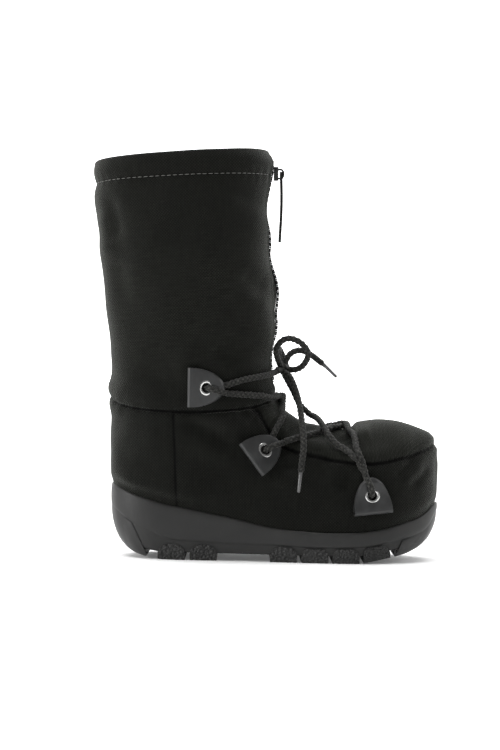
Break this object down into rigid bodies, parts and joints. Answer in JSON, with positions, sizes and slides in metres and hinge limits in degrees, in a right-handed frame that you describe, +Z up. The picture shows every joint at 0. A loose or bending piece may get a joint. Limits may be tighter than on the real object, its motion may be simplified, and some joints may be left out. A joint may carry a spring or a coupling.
{
  "type": "winter boot",
  "caption": "Tall padded textile snow boot with a front zip, folded lace tabs, tied lace and a chunky lugged cup sole, standing upright.",
  "frame": {"origin": "on the floor below the heel, on the flat underside of the rearmost heel lug", "axes": "+X towards the toe, +Y towards the inner side of the foot, +Z up"},
  "size_m": [0.3116, 0.1212, 0.36],
  "materials": {
    "sole_rubber": "matte moulded",
    "insole_felt": "felt",
    "fabric": "woven, padded",
    "tab_leather": "smooth, semi-gloss",
    "nickel": "plated, bright",
    "zip_tape": "woven tape",
    "zip_teeth": "moulded",
    "enamel": "black enamel",
    "lace": "braided",
    "aglet_plastic": "glossy"
  },
  "bodies": {
    "boot": {"outsole": "sole_rubber", "insole": "insole_felt", "upper": "fabric", "tab_upper_outer": "tab_leather", "tab_upper_inner": "tab_leather", "tab_middle_outer": "tab_leather", "tab_middle_inner": "tab_leather", "tab_lower_outer": "tab_leather", "tab_lower_inner": "tab_leather", "eyelet_upper_outer": "nickel", "eyelet_upper_inner": "nickel", "eyelet_middle_outer": "nickel", "eyelet_middle_inner": "nickel", "eyelet_lower_outer": "nickel", "eyelet_lower_inner": "nickel", "zip_tape": "zip_tape", "zip_teeth": "zip_teeth", "zip_slider": "enamel", "lace_vamp_cross": "lace", "lace_vamp_bar": "lace", "lace_throat_cross": "lace", "lace_ankle_outer": "lace", "lace_ankle_inner": "lace", "lace_rise": "lace", "lace_knot": "lace", "bow_loop_outer": "lace", "bow_loop_inner": "lace", "lace_end_front": "lace", "lace_end_outer": "lace", "aglet_front": "aglet_plastic", "aglet_outer": "aglet_plastic"},
    "pull": {"zip_pull": "enamel"}
  },
  "joints": [
    {"name": "pull_hinge", "type": "hinge", "parent": "boot", "child": "pull", "pos_m": [0.09309, 0, 0.34164], "axis": [0, -1, 0], "range_deg": [-4, 150]}
  ]
}
